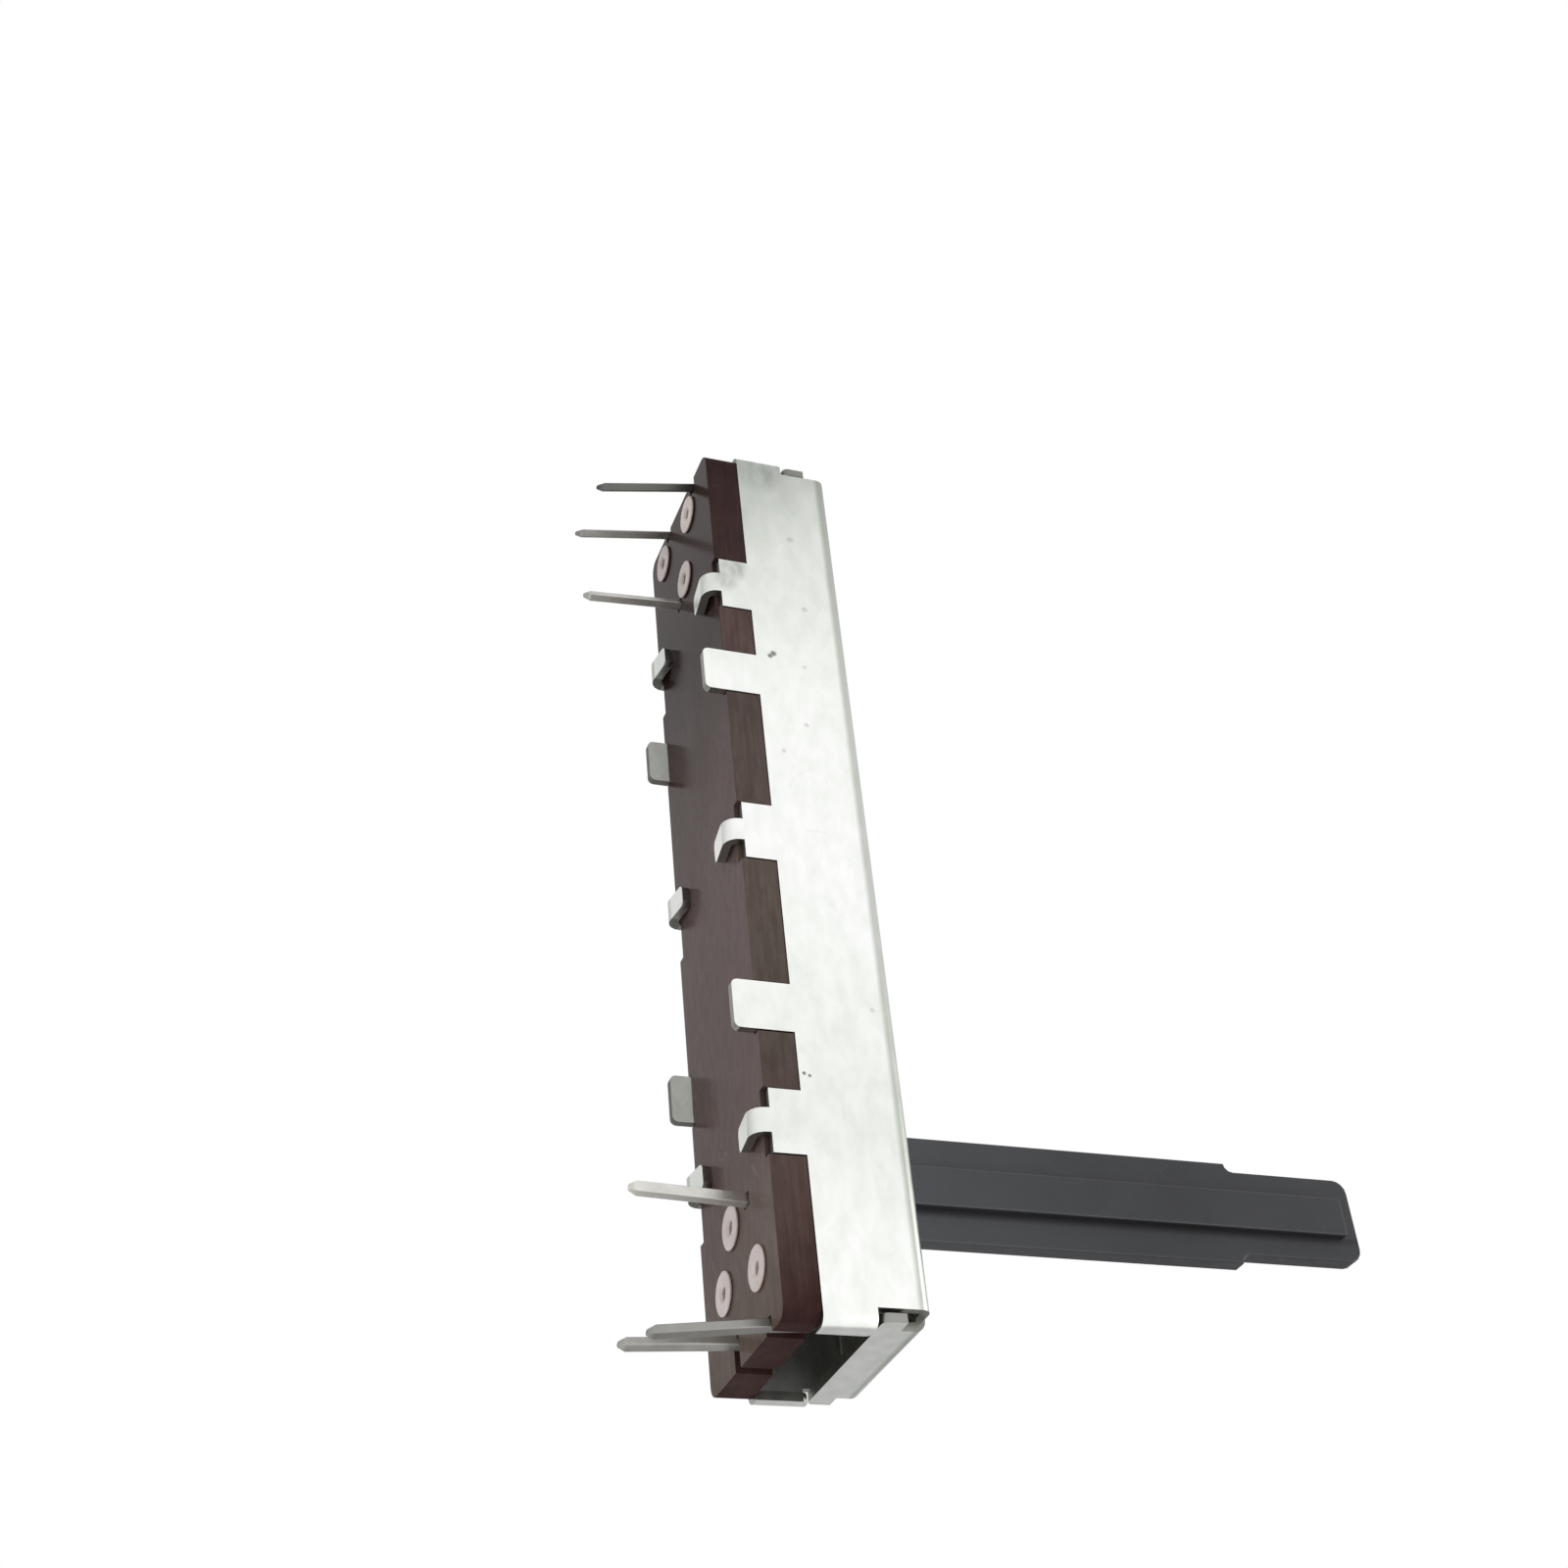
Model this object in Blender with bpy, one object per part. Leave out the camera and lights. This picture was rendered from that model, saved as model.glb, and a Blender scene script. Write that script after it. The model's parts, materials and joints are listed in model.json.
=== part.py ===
"""Slide potentiometer: two gangs, 30 mm travel, folded tinned-steel housing.

Sizes are in millimetres and turned into metres where a mesh is made. X runs along the travel,
Y across the body and Z up the lever. The origin is the middle of the board's underside.
"""
from collections import namedtuple
import math

import bmesh
import bpy
from mathutils import Matrix, Vector

MM = 0.001

# Travel, and the room that each end needs past it
TRAVEL = 30.0
END_ROOM = 7.8
SLIDER_REST_X = 14.7

# Clearances: between pieces that seat, between pieces that slide, and round a tab in its notch
SEAT_GAP = 0.03
RUNNING_GAP = 0.15
NOTCH_GAP = 0.06

# Terminal board
BODY_WIDTH = 9.0
BOARD_THICKNESS = 1.6
BOARD_END_GAP = 0.2
BOARD_SIDE_GAP = 0.02
BOARD_CORNER_RADIUS = 0.6
SEAT_WIDTH = 3.8

# Housing sheet: channel, end flaps from the top, ears from the walls
SHEET_THICKNESS = 0.4
HOUSING_HEIGHT = 4.7
BEND_RADIUS = 0.5
BEND_STEPS = 5
FLAP_INSET = 0.25
FLAP_DROP = 1.65
FLAP_SIDE_GAP = 0.1
FLAP_RELIEF = 0.05
FLAP_NECK_LENGTH = 0.6
FLAP_NECK_NOTCH = 0.4
EAR_HEIGHT = 2.3
EAR_LENGTH = 0.5

# Lock tabs, whose tongues fold over the board, and straight legs
LOCK_PITCH = 14.2
LOCK_WIDTH = 2.9
LOCK_FOOT_HEIGHT = 0.2
TONGUE_WIDTH = 1.1
TONGUE_BEND_RADIUS = 0.66
TONGUE_BEND_HEIGHT = 0.05
TONGUE_TURN = math.radians(97)
TONGUE_LENGTH = 1.45
LEG_PITCH = 8.87
LEG_WIDTH = 2.3
LEG_LENGTH = 1.0
FAR_SIDE_SHIFT = -0.8

# Slot and tapped fixing holes in the housing's top
SLOT_END_GAP = 0.2
FIXING_INSET = 2.5
FIXING_HOLE_RADIUS = 0.85
FIXING_COLLAR_RADIUS = 1.35
FIXING_COLLAR_HEIGHT = 0.6

# Tracks printed on the board, placed by the distance of their middle from the housing wall
TRACK_THICKNESS = 0.05
TRACK_WIDTH = 1.2
TRACK_PAD_RADIUS = 0.95
TRACK_SPARE = 0.45
RESISTIVE_INSET = 1.0
COLLECTOR_INSET = 2.7

# Terminals and the hollow rivets that hold them
STRIP_THICKNESS = 0.4
STRIP_RADIUS = 0.92
STRIP_NECK = math.radians(65)
STRIP_STEPS = 12
PIN_WIDTH = 0.5
PIN_LENGTH = 5.0
PIN_BEND_RADIUS = 0.5
PIN_BEND_STEPS = 4
PIN_POINT_LENGTH = 0.35
PIN_POINT_SHARE = 0.45
RIVET_FLANGE_RADIUS = 0.95
RIVET_FLANGE_THICKNESS = 0.1
RIVET_HEAD_RADIUS = 0.8
RIVET_BARREL_RADIUS = 0.6
RIVET_BORE_RADIUS = 0.3
RIVET_STEPS = 20

# Carriage of the slider
CARRIAGE_LENGTH = 8.0
CARRIAGE_FLOOR_Z = 3.3
CARRIAGE_PLATE = 1.4
RAIL_WIDTH = 1.0
BOSS_MARGIN = 0.8
BOSS_WIDTH = 4.2

# Lever: a flat blade with a narrower tip and a rib down each face
LEVER_WIDTH = 4.85
LEVER_THICKNESS = 0.9
LEVER_TIP_WIDTH = 4.05
LEVER_STEP_Z = 23.6
LEVER_STEP_HEIGHT = 0.45
LEVER_TIP_Z = 29.9
LEVER_CORNER_RADIUS = 0.65
LEVER_EDGE_RADIUS = 0.1
RIB_WIDTH = 1.85
RIB_THICKNESS = 0.4
RIB_END_GAP = 0.75

# Wipers, staked under the carriage
STAKE_RADIUS = 0.3
STAKE_DROP = 0.35
STAKE_STEPS = 12
WIPER_THICKNESS = 0.12
WIPER_BASE_X = 3.6
WIPER_BASE_LENGTH = 2.8
WIPER_BASE_WIDTH = 3.0
FINGER_WIDTH = 0.42
FINGER_PITCH = 0.64
FINGER_SLOPE = math.radians(45)
FINGER_BEND_RADIUS = 0.4
FINGER_TIP_RADIUS = 0.45

# Drag spring, bowed in a pocket beside the carriage
SPRING_THICKNESS = 0.12
SPRING_LENGTH = 5.6
SPRING_HEIGHT = 1.5
SPRING_BOW_RADIUS = 11.0
SPRING_POCKET_DEPTH = 0.75

# Pins and rivets, by their distance from the board's end (-1 or 1) and their Y. The pins are bent
# along X, as in the photo, by the lean of their tips.
Terminal = namedtuple("Terminal", "end pin_inset pin_y rivet_inset rivet_y lean")
TERMINALS = {
    "terminal_1": Terminal(-1, 0.45, -2.3, 1.54, -1.49, 1.08),
    "terminal_2": Terminal(-1, 0.25, 1.6, 1.4, 2.52, 0.92),
    "terminal_3": Terminal(-1, 5.58, 0.75, 4.85, -0.35, 0.37),
    "terminal_4": Terminal(1, 6.25, -1.48, 5.9, 0.43, -0.2),
    "terminal_5": Terminal(1, 0.35, -2.77, 2.98, -2.2, 0.55),
    "terminal_6": Terminal(1, 1.12, 1.0, 3.59, 1.82, 0.28),
}

# Sizes and places that follow
HOUSING_LENGTH = TRAVEL + 2 * END_ROOM
BOARD_LENGTH = HOUSING_LENGTH - 2 * BOARD_END_GAP
HOUSING_EDGE_Z = BOARD_THICKNESS + SEAT_GAP
HOUSING_TOP_Z = BOARD_THICKNESS + HOUSING_HEIGHT
WALL_TO_WALL = BODY_WIDTH - 2 * SHEET_THICKNESS
CARRIAGE_WIDTH = WALL_TO_WALL - 2 * RUNNING_GAP
PLATE_TOP_Z = CARRIAGE_FLOOR_Z + CARRIAGE_PLATE
RAIL_TOP_Z = HOUSING_TOP_Z - SHEET_THICKNESS - RUNNING_GAP
SLOT_WIDTH = LEVER_THICKNESS + 2 * RIB_THICKNESS + 2 * RUNNING_GAP
SLOT_LENGTH = TRAVEL + LEVER_WIDTH + 2 * SLOT_END_GAP
RESISTIVE_Y = WALL_TO_WALL / 2 - RESISTIVE_INSET
COLLECTOR_Y = WALL_TO_WALL / 2 - COLLECTOR_INSET
TRACK_Z = BOARD_THICKNESS + SEAT_GAP
TRACK_TOP_Z = TRACK_Z + TRACK_THICKNESS
STRIP_Z = TRACK_TOP_Z + SEAT_GAP
STRIP_TOP_Z = STRIP_Z + STRIP_THICKNESS
WIPER_TOP_Z = CARRIAGE_FLOOR_Z - SEAT_GAP
SPRING_Z = (CARRIAGE_FLOOR_Z + RAIL_TOP_Z) / 2

# Finishes: name, colour, roughness, metallic
STEEL = ("tinned_steel", (0.80, 0.82, 0.80), 0.35, 1.0)
PHENOLIC = ("phenolic_board", (0.13, 0.075, 0.07), 0.25, 0.0)
CARBON = ("carbon_track", (0.02, 0.02, 0.022), 0.55, 0.0)
SILVER = ("silver_track", (0.62, 0.62, 0.60), 0.4, 1.0)
TERMINAL_TIN = ("tinned_brass", (0.62, 0.61, 0.57), 0.35, 1.0)
RIVET_TIN = ("rivet_tin", (0.60, 0.56, 0.55), 0.35, 1.0)
LEVER_PLASTIC = ("black_nylon", (0.055, 0.056, 0.062), 0.45, 0.0)
SPRING_METAL = ("spring_bronze", (0.65, 0.50, 0.30), 0.3, 1.0)


def clear_scene():
    for item in list(bpy.context.scene.objects):
        bpy.data.objects.remove(item, do_unlink=True)


def finish(look):
    name, colour, roughness, metallic = look
    material = bpy.data.materials.get(name)
    if material is None:
        material = bpy.data.materials.new(name)
        material.use_nodes = True
        shader = material.node_tree.nodes["Principled BSDF"]
        shader.inputs["Base Color"].default_value = (*colour, 1.0)
        shader.inputs["Roughness"].default_value = roughness
        shader.inputs["Metallic"].default_value = metallic
        material.diffuse_color = (*colour, 1.0)
    return material


def body_frame(name, x):
    empty = bpy.data.objects.new(name, None)
    empty.location = (x * MM, 0, 0)
    bpy.context.scene.collection.objects.link(empty)
    return empty


def face_outwards(bm):
    bmesh.ops.recalc_face_normals(bm, faces=bm.faces[:])
    if bm.calc_volume(signed=True) < 0:
        bmesh.ops.reverse_faces(bm, faces=bm.faces[:])


def add_object(name, bm, parent=None, look=None):
    """Turn a millimetre bmesh into an object in metres, with its faces pointing out."""
    face_outwards(bm)
    bmesh.ops.scale(bm, vec=(MM, MM, MM), verts=bm.verts[:])
    mesh = bpy.data.meshes.new(name)
    bm.to_mesh(mesh)
    bm.free()
    item = bpy.data.objects.new(name, mesh)
    bpy.context.scene.collection.objects.link(item)
    item.parent = parent
    if look:
        mesh.materials.append(finish(look))
        mesh.shade_smooth()
        mesh.set_sharp_from_angle(angle=math.radians(30))
    return item


def apply_tool(item, name, bm, operation):
    """Cut a hidden tool out of an item, or join it on."""
    tool = add_object(f"{item.name}_{name}", bm, item.parent)
    tool.hide_render = True
    tool.display_type = "WIRE"
    modifier = item.modifiers.new(name, "BOOLEAN")
    modifier.operation = operation
    modifier.object = tool


def arc(centre, radius, start, end, steps):
    angles = [start + (end - start) * step / steps for step in range(steps + 1)]
    return [(centre[0] + radius * math.cos(a), centre[1] + radius * math.sin(a)) for a in angles]


def rounded_rectangle(half_x, half_y, radius, steps=5):
    corners = ((1, 1), (-1, 1), (-1, -1), (1, -1))
    outline = []
    for quarter, (side_x, side_y) in enumerate(corners):
        centre = (side_x * (half_x - radius), side_y * (half_y - radius))
        start = quarter * math.pi / 2
        outline += arc(centre, radius, start, start + math.pi / 2, steps)
    return outline


def ribbon(stations, steps=8):
    """Outline round a run of (x, y, half width) stations, with a round end at each end station."""
    points = [Vector(station[:2]) for station in stations]
    halves = [station[2] for station in stations]
    headings = [(b - a).normalized() for a, b in zip(points, points[1:])]
    sides = []
    for index in range(1, len(points) - 1):
        before, after = headings[index - 1], headings[index]
        across = Vector((-(before.y + after.y), before.x + after.x)).normalized()
        mitre = max(0.5, across.dot(Vector((-after.y, after.x))))
        sides.append(across * halves[index] / mitre)
    quarter = math.pi / 2
    start_angle = math.atan2(headings[0].y, headings[0].x)
    end_angle = math.atan2(headings[-1].y, headings[-1].x)
    start = arc(points[0], halves[0], start_angle + quarter, start_angle + 3 * quarter, steps)
    end = arc(points[-1], halves[-1], end_angle - quarter, end_angle + quarter, steps)
    right = [tuple(point - side) for point, side in zip(points[1:-1], sides)]
    left = [tuple(point + side) for point, side in zip(points[1:-1], sides)]
    return start + right + end + left[::-1]


def prism(bm, outline, low, high):
    """Extrude an XY outline from one height to another."""
    face = bm.faces.new([bm.verts.new((x, y, low)) for x, y in outline])
    grown = bmesh.ops.extrude_face_region(bm, geom=[face])["geom"]
    new = [part for part in grown if isinstance(part, bmesh.types.BMVert)]
    bmesh.ops.translate(bm, verts=new, vec=(0, 0, high - low))


def box(bm, low, high):
    size = [b - a for a, b in zip(low, high)]
    centre = [(a + b) / 2 for a, b in zip(low, high)]
    matrix = Matrix.Translation(centre) @ Matrix.Diagonal((*size, 1))
    return bmesh.ops.create_cube(bm, size=1, matrix=matrix)["verts"]


def cylinder(bm, x, y, radius, low, high, segments=24):
    matrix = Matrix.Translation((x, y, (low + high) / 2))
    bmesh.ops.create_cone(bm, cap_ends=True, segments=segments, radius1=radius, radius2=radius,
                          depth=high - low, matrix=matrix)


def ease_edges(bm, edges, radius):
    bmesh.ops.bevel(bm, geom=edges, offset=radius, affect="EDGES", segments=2, profile=0.5, material=-1)


def step_length(step):
    """Length along the outer face of one step of a folding path."""
    radius, amount = step
    return radius * amount if radius else amount


def walk(path, distance, depth):
    """Point (along, down) on a folded sheet, at a distance along its outer face and a depth in it.

    Each step of the path is (radius, amount): a straight has radius 0 and a length, and a bend has
    an outer radius and an angle, both negative where it turns back up.
    """
    along = down = heading = 0.0
    for radius, amount in path:
        step = min(distance, step_length((radius, amount)))
        if radius:
            turned = heading + step / radius
            along += radius * (math.sin(turned) - math.sin(heading))
            down += radius * (math.cos(heading) - math.cos(turned))
            heading = turned
        else:
            along += step * math.cos(heading)
            down += step * math.sin(heading)
        distance -= step
        if distance <= 0:
            break
    return along - depth * math.sin(heading), down + depth * math.cos(heading)


def path_lines(path):
    """Distances along a path where each straight and each facet of a bend ends."""
    lines = [0.0]
    for step in path:
        count = BEND_STEPS if step[0] else 1
        lines += [lines[-1] + step_length(step) * (facet + 1) / count for facet in range(count)]
    return lines


def span(a, b):
    return (min(a, b), max(a, b))


def folded_sheet(rectangles, lines_u, lines_v, thickness, fold):
    """Punch a flat blank from rectangles (u0, u1, v0, v1), thicken it and fold it."""
    edges_u = sorted({round(u, 6) for r in rectangles for u in r[:2]} | {round(u, 6) for u in lines_u})
    edges_v = sorted({round(v, 6) for r in rectangles for v in r[2:]} | {round(v, 6) for v in lines_v})
    bm = bmesh.new()
    crossings = {}

    def crossing(u, v):
        if (u, v) not in crossings:
            crossings[u, v] = bm.verts.new((u, v, 0))
        return crossings[u, v]

    for u0, u1 in zip(edges_u, edges_u[1:]):
        for v0, v1 in zip(edges_v, edges_v[1:]):
            mid_u, mid_v = (u0 + u1) / 2, (v0 + v1) / 2
            if any(r[0] < mid_u < r[1] and r[2] < mid_v < r[3] for r in rectangles):
                bm.faces.new((crossing(u0, v0), crossing(u1, v0), crossing(u1, v1), crossing(u0, v1)))
    grown = bmesh.ops.extrude_face_region(bm, geom=bm.faces[:])["geom"]
    new = [part for part in grown if isinstance(part, bmesh.types.BMVert)]
    bmesh.ops.translate(bm, verts=new, vec=(0, 0, -thickness))
    for vert in bm.verts:
        vert.co = fold(vert.co.x, vert.co.y, -vert.co.z)
    # The merge of flat faces below goes by the normals, which folding leaves out of date
    face_outwards(bm)
    bmesh.ops.dissolve_limit(bm, angle_limit=math.radians(0.2), verts=bm.verts[:], edges=bm.edges[:])
    bmesh.ops.triangulate(bm, faces=bm.faces[:])
    return bm


def lock_places():
    """Side, middle and tongue middle of each lock tab."""
    return [(side, x, x + (FAR_SIDE_SHIFT if side > 0 else 0.0))
            for side in (-1, 1) for x in (-LOCK_PITCH, 0.0, LOCK_PITCH)]


def leg_places():
    """Side and middle of each leg. One leg on the far side is set back."""
    return [(-1, -LEG_PITCH), (-1, LEG_PITCH), (1, -LEG_PITCH + FAR_SIDE_SHIFT), (1, LEG_PITCH)]


def housing_shell(parent):
    """Folded channel with end flaps, folded ears, lock tabs, legs, slot and tapped holes."""
    half_l, half_w = HOUSING_LENGTH / 2, BODY_WIDTH / 2
    quarter = math.pi / 2
    wall_v = half_w - BEND_RADIUS + BEND_RADIUS * quarter
    wall_top_z = HOUSING_TOP_Z - BEND_RADIUS
    wall = [(0, half_w - BEND_RADIUS), (BEND_RADIUS, quarter), (0, wall_top_z + LEG_LENGTH)]
    hook = [(0, half_w - BEND_RADIUS), (BEND_RADIUS, quarter), (0, wall_top_z - TONGUE_BEND_HEIGHT),
            (TONGUE_BEND_RADIUS, TONGUE_TURN), (0, TONGUE_LENGTH)]
    ear_bend = half_l - BEND_RADIUS
    flap_bend = ear_bend - FLAP_INSET
    flap = [(0, flap_bend), (BEND_RADIUS, quarter), (0, FLAP_DROP)]
    ear = [(0, ear_bend), (BEND_RADIUS, quarter), (0, EAR_LENGTH)]
    hook_lines, flap_lines, ear_lines = path_lines(hook), path_lines(flap), path_lines(ear)

    def blank_v(z):
        """Distance across the blank of a height on the wall."""
        return wall_v + wall_top_z - z

    edge_v, foot_v, leg_v = blank_v(HOUSING_EDGE_Z), blank_v(LOCK_FOOT_HEIGHT), blank_v(-LEG_LENGTH)
    ear_v = blank_v(HOUSING_EDGE_Z + EAR_HEIGHT)
    flap_shoulder, flap_end = flap_lines[-2] + FLAP_NECK_LENGTH, flap_lines[-1]
    flap_half = half_w - FLAP_SIDE_GAP
    neck_half = half_w - BEND_RADIUS - FLAP_NECK_NOTCH
    wall_end = flap_bend - FLAP_RELIEF
    rectangles = [(-wall_end, wall_end, -edge_v, edge_v)]
    for end in (-1, 1):
        rectangles.append((*span(0, end * flap_shoulder), -neck_half, neck_half))
        rectangles.append((*span(end * flap_shoulder, end * flap_end), -flap_half, flap_half))
        for side in (-1, 1):
            rectangles.append((*span(0, end * ear_lines[-1]), *span(side * ear_v, side * edge_v)))
    for side, middle, tongue in lock_places():
        rectangles.append((middle - LOCK_WIDTH / 2, middle + LOCK_WIDTH / 2,
                           *span(side * edge_v, side * foot_v)))
        rectangles.append((tongue - TONGUE_WIDTH / 2, tongue + TONGUE_WIDTH / 2,
                           *span(side * foot_v, side * hook_lines[-1])))
    for side, middle in leg_places():
        rectangles.append((middle - LEG_WIDTH / 2, middle + LEG_WIDTH / 2,
                           *span(side * edge_v, side * leg_v)))
    tongues = [(side, tongue) for side, middle, tongue in lock_places()]

    def fold(u, v, depth):
        side, end = math.copysign(1, v), math.copysign(1, u)
        if abs(u) > flap_bend and abs(v) < flap_half + SEAT_GAP:
            along, down = walk(flap, abs(u), depth)
            return end * along, v, HOUSING_TOP_Z - down
        on_tongue = any(side == s and abs(u - x) < TONGUE_WIDTH / 2 + SEAT_GAP for s, x in tongues)
        across, down = walk(hook if on_tongue and abs(v) > foot_v else wall, abs(v), depth)
        if abs(u) > ear_bend:
            along, inward = walk(ear, abs(u), depth)
            return end * along, side * (half_w - inward), HOUSING_TOP_Z - down
        return u, side * across, HOUSING_TOP_Z - down

    lines_u = [end * line for end in (-1, 1) for line in flap_lines + ear_lines]
    lines_v = [side * line for side in (-1, 1) for line in hook_lines]
    bm = folded_sheet(rectangles, lines_u, lines_v, SHEET_THICKNESS, fold)
    shell = add_object("housing_shell", bm, parent, STEEL)

    collars = bmesh.new()
    holes = bmesh.new()
    ceiling = HOUSING_TOP_Z - SHEET_THICKNESS
    for end in (-1, 1):
        x = end * (half_l - FIXING_INSET)
        cylinder(collars, x, 0, FIXING_COLLAR_RADIUS, ceiling - FIXING_COLLAR_HEIGHT,
                 ceiling + SHEET_THICKNESS / 2)
        cylinder(holes, x, 0, FIXING_HOLE_RADIUS, ceiling - 2 * FIXING_COLLAR_HEIGHT,
                 HOUSING_TOP_Z + SHEET_THICKNESS)
    slot_end = (SLOT_LENGTH - SLOT_WIDTH) / 2
    slot = ribbon([(-slot_end, 0, SLOT_WIDTH / 2), (slot_end, 0, SLOT_WIDTH / 2)])
    prism(holes, slot, ceiling - SHEET_THICKNESS, HOUSING_TOP_Z + SHEET_THICKNESS)
    apply_tool(shell, "collars", collars, "UNION")
    apply_tool(shell, "holes", holes, "DIFFERENCE")


def pin_point(spot):
    return Vector((spot.end * (BOARD_LENGTH / 2 - spot.pin_inset), spot.pin_y))


def rivet_point(spot):
    return Vector((spot.end * (BOARD_LENGTH / 2 - spot.rivet_inset), spot.rivet_y))


def terminal_openings(cutters, spot, low, high):
    """Rivet hole and pin slot of a terminal. A slot near the board's end is open there."""
    pin, centre = pin_point(spot), rivet_point(spot)
    cylinder(cutters, centre.x, centre.y, RIVET_BARREL_RADIUS + SEAT_GAP, low, high)
    reach = PIN_WIDTH / 2 + NOTCH_GAP
    open_end = spot.pin_inset < BOARD_THICKNESS
    outer = HOUSING_LENGTH / 2 if open_end else abs(pin.x) + reach
    x0, x1 = span(spot.end * (abs(pin.x) - reach), spot.end * outer)
    box(cutters, (x0, pin.y - reach, low), (x1, pin.y + reach, high))


def terminal_board(parent):
    """Laminate strip with a notch for each tab, open end slots for the pins and rivet holes."""
    half_w = BODY_WIDTH / 2
    outline = rounded_rectangle(BOARD_LENGTH / 2, half_w - BOARD_SIDE_GAP, BOARD_CORNER_RADIUS)
    bm = bmesh.new()
    prism(bm, outline, 0, BOARD_THICKNESS)
    # The flat seat in the middle of the underside, clear of the rivets and tongues
    for normal, half in (((1, 0, 0), TRAVEL / 2), ((0, 1, 0), SEAT_WIDTH / 2)):
        for side in (-1, 1):
            geometry = bm.verts[:] + bm.edges[:] + bm.faces[:]
            bmesh.ops.bisect_plane(bm, geom=geometry, plane_co=side * half * Vector(normal),
                                   plane_no=normal)
    board = add_object("terminal_board", bm, parent, PHENOLIC)

    cutters = bmesh.new()
    low, high = -BOARD_THICKNESS, 2 * BOARD_THICKNESS
    notch_floor = half_w - SHEET_THICKNESS - NOTCH_GAP
    notches = [(side, middle, LOCK_WIDTH) for side, middle, tongue in lock_places()]
    notches += [(side, middle, LEG_WIDTH) for side, middle in leg_places()]
    for side, middle, width in notches:
        reach = width / 2 + NOTCH_GAP
        y0, y1 = span(side * notch_floor, side * (half_w + SHEET_THICKNESS))
        box(cutters, (middle - reach, y0, low), (middle + reach, y1, high))
    for spot in TERMINALS.values():
        terminal_openings(cutters, spot, low, high)
    apply_tool(board, "openings", cutters, "DIFFERENCE")


def printed_tracks(parent):
    """Two carbon tracks that end at the outer terminals and two silver collector tracks."""
    low = contact_x() - TRAVEL / 2 - TRACK_SPARE
    high = contact_x() + TRAVEL / 2 + TRACK_SPARE
    layouts = {
        "resistive_track_a": ("terminal_1", -RESISTIVE_Y, "terminal_5", CARBON),
        "resistive_track_b": ("terminal_2", RESISTIVE_Y, "terminal_6", CARBON),
        "collector_track_a": (None, -COLLECTOR_Y, "terminal_4", SILVER),
        "collector_track_b": ("terminal_3", COLLECTOR_Y, None, SILVER),
    }
    for name, (first, y, last, look) in layouts.items():
        stations = [(low, y, TRACK_WIDTH / 2), (high, y, TRACK_WIDTH / 2)]
        if first:
            stations.insert(0, (*rivet_point(TERMINALS[first]), TRACK_PAD_RADIUS))
        if last:
            stations.append((*rivet_point(TERMINALS[last]), TRACK_PAD_RADIUS))
        bm = bmesh.new()
        prism(bm, ribbon(stations), TRACK_Z, TRACK_TOP_Z)
        track = add_object(name, bm, parent, look)
        openings = bmesh.new()
        for terminal_name in filter(None, (first, last)):
            terminal_openings(openings, TERMINALS[terminal_name], 0, 2 * BOARD_THICKNESS)
        apply_tool(track, "openings", openings, "DIFFERENCE")


def terminal(name, parent):
    """Round-ended strip under a rivet whose tail bends down through the board as a pointed pin."""
    spot = TERMINALS[name]
    pin, centre = pin_point(spot), rivet_point(spot)
    heading = (pin - centre).normalized()
    across = Vector((-heading.y, heading.x))
    tail = pin - heading * (PIN_BEND_RADIUS - PIN_WIDTH + STRIP_THICKNESS)
    angle = math.atan2(heading.y, heading.x)
    outline = arc(centre, STRIP_RADIUS, angle + STRIP_NECK, angle + 2 * math.pi - STRIP_NECK, STRIP_STEPS)
    outline += [tuple(tail - across * PIN_WIDTH / 2), tuple(tail + across * PIN_WIDTH / 2)]
    bm = bmesh.new()
    prism(bm, outline, STRIP_Z, STRIP_TOP_Z)
    tip = max((face for face in bm.faces if len(face.verts) == 4),
              key=lambda face: face.calc_center_median().xy.dot(heading))
    hinge = Vector((*tail, STRIP_TOP_Z - PIN_BEND_RADIUS))
    spun = bmesh.ops.spin(bm, geom=[tip], cent=hinge, axis=(-across.x, -across.y, 0),
                          angle=-math.pi / 2, steps=PIN_BEND_STEPS, use_merge=False)["geom_last"]
    bmesh.ops.delete(bm, geom=[tip], context="FACES_ONLY")
    foot = [part for part in spun if isinstance(part, bmesh.types.BMFace)][0]
    shoulder = PIN_LENGTH - PIN_POINT_LENGTH
    for drop, size in ((0.0, 1.0), (shoulder, 1.0), (PIN_LENGTH, PIN_POINT_SHARE)):
        grown = bmesh.ops.extrude_discrete_faces(bm, faces=[foot])["faces"][0]
        middle = grown.calc_center_median()
        target = Vector((pin.x + spot.lean * drop / PIN_LENGTH, pin.y, -drop))
        for vert in grown.verts:
            vert.co = target + (vert.co - middle) * size
        foot = grown
    strip = add_object(name, bm, parent, TERMINAL_TIN)
    hole = bmesh.new()
    cylinder(hole, centre.x, centre.y, RIVET_BARREL_RADIUS + SEAT_GAP, 0, 2 * STRIP_TOP_Z)
    apply_tool(strip, "rivet_hole", hole, "DIFFERENCE")


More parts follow.
